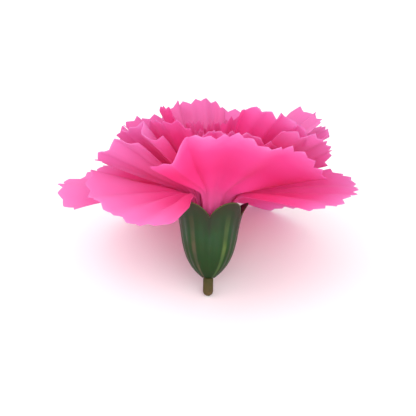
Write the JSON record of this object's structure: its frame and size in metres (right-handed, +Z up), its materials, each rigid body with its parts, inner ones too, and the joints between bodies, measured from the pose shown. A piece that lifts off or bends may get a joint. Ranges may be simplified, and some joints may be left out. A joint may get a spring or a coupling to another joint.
{
  "type": "artificial carnation head",
  "caption": "Silk-type carnation head: ruffled pinked-edge petal rosettes on a short pin, gathered by a lobed cup, lying on its back petals.",
  "frame": {"origin": "centre of the bottom of the bounding box, on the surface that the flower lies on", "axes": "+Z up from the surface; the flower lies on its back petals and the tip of its peg, leaning away towards +Y; +X to the right of the pictured side"},
  "size_m": [0.0766, 0.0584, 0.0502],
  "materials": {
    "pin": "olive-brown moulded plastic, slightly satin",
    "calyx": "dark green moulded plastic with paler printed stripes, soft sheen",
    "rings": "off-white moulded plastic",
    "petals": "dyed woven polyester, bright pink, paler at the rims and deeper in the folds"
  },
  "bodies": {
    "root": {"core_pin": "pin", "calyx": "calyx", "hub_sleeve": "rings", "hub_washer_1": "rings", "hub_washer_2": "rings", "hub_washer_3": "rings", "hub_washer_4": "rings", "hub_washer_5": "rings", "petal_layer_1": "petals", "petal_layer_2": "petals", "petal_layer_3": "petals", "petal_layer_4": "petals", "petal_layer_5": "petals", "petal_layer_6": "petals"}
  },
  "joints": []
}
